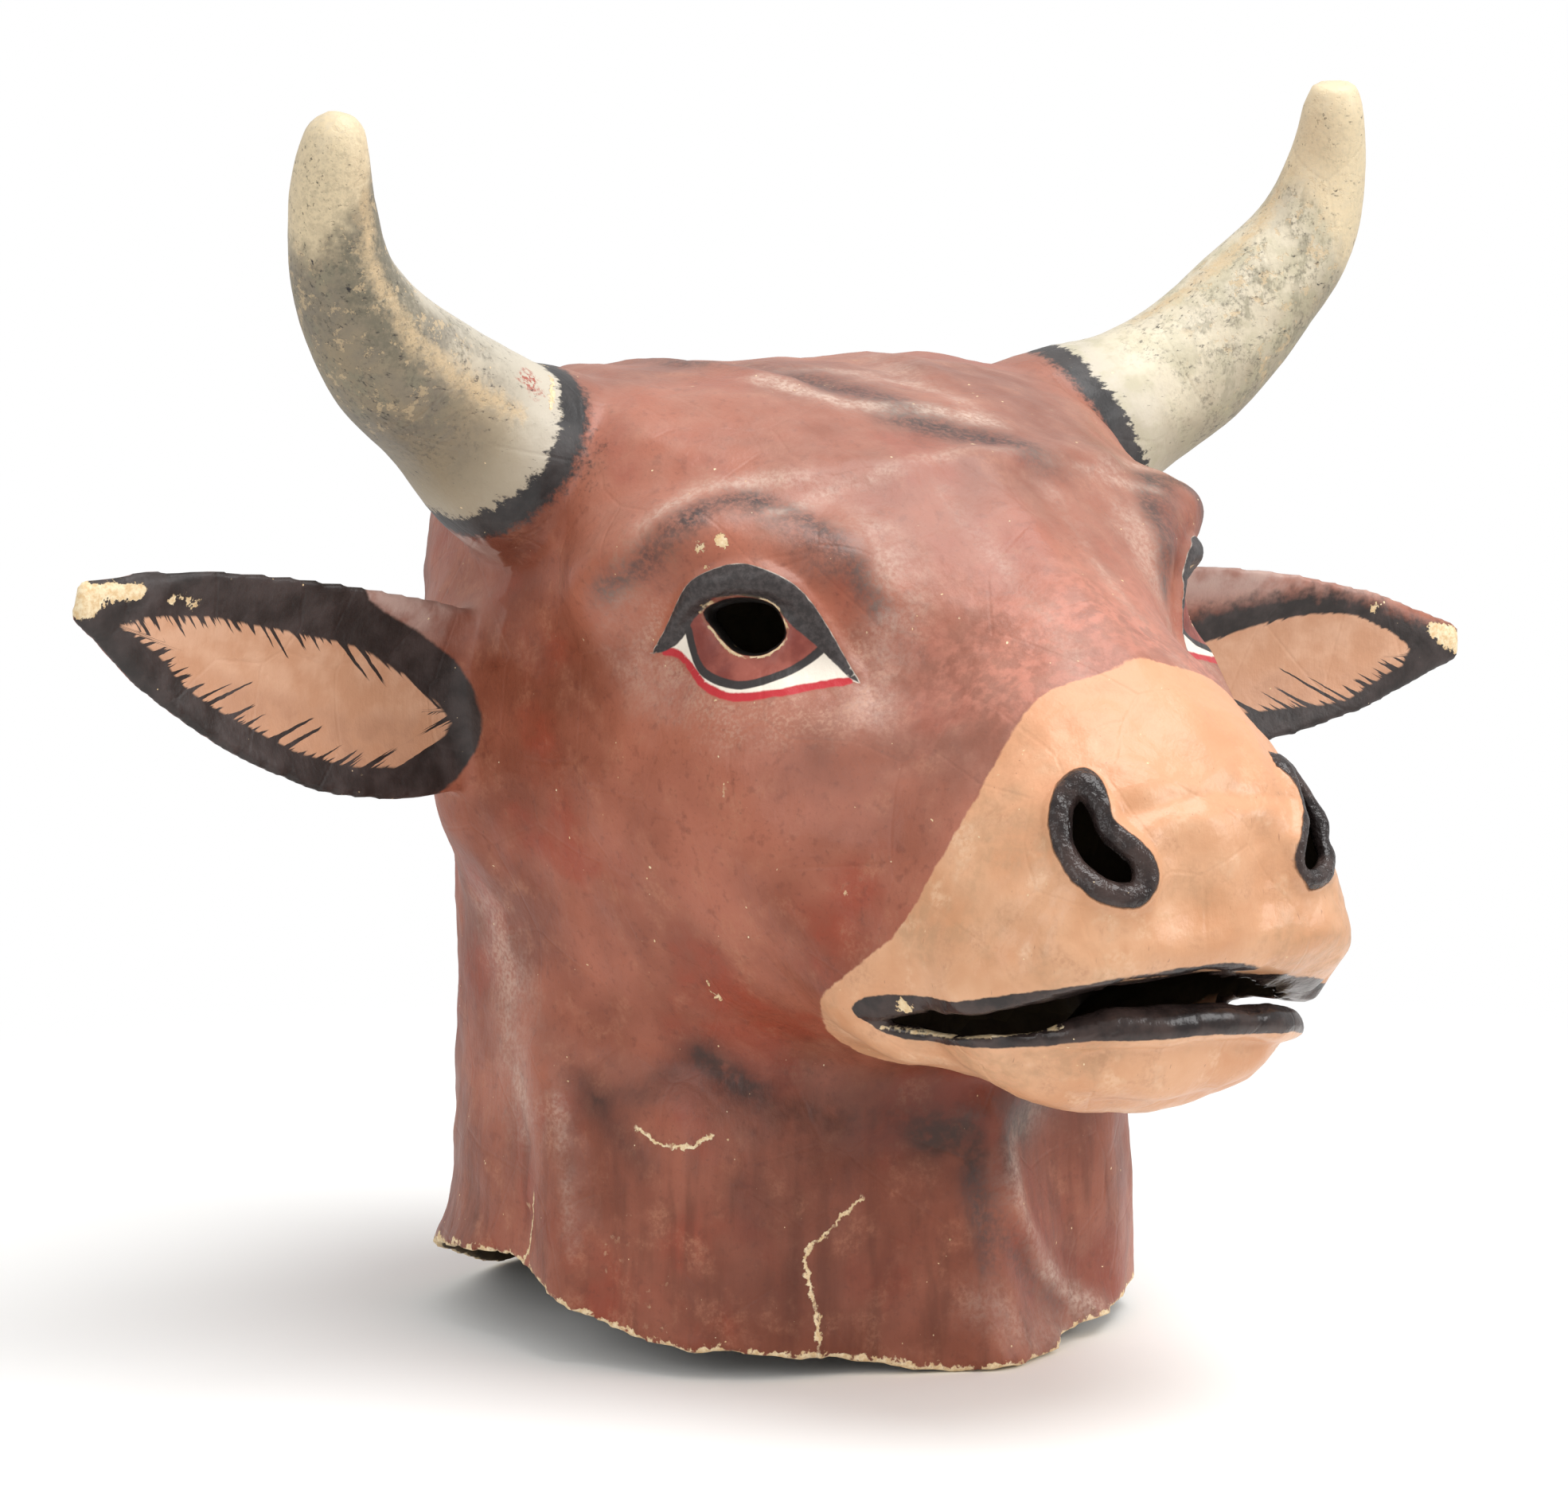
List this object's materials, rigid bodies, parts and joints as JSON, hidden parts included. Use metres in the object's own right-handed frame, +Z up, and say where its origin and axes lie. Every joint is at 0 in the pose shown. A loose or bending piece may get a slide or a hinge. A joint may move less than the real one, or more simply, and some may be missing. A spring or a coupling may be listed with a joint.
{
  "type": "papier-mache cow mask",
  "caption": "Painted papier-mache cow head mask with curved horns, spread ears, pierced eyes, open nostrils and a parted mouth.",
  "frame": {"origin": "middle of the mask's box at the level of the neck rim it stands on", "axes": "+Z up, the muzzle towards -Y, the animal's right side at -X"},
  "size_m": [0.756, 0.472, 0.5622],
  "materials": {
    "painted_paper": "satin paint over layered papier-mache, worn to bare paper at the edges"
  },
  "bodies": {
    "root": {"cow_mask": "painted_paper"}
  },
  "joints": []
}
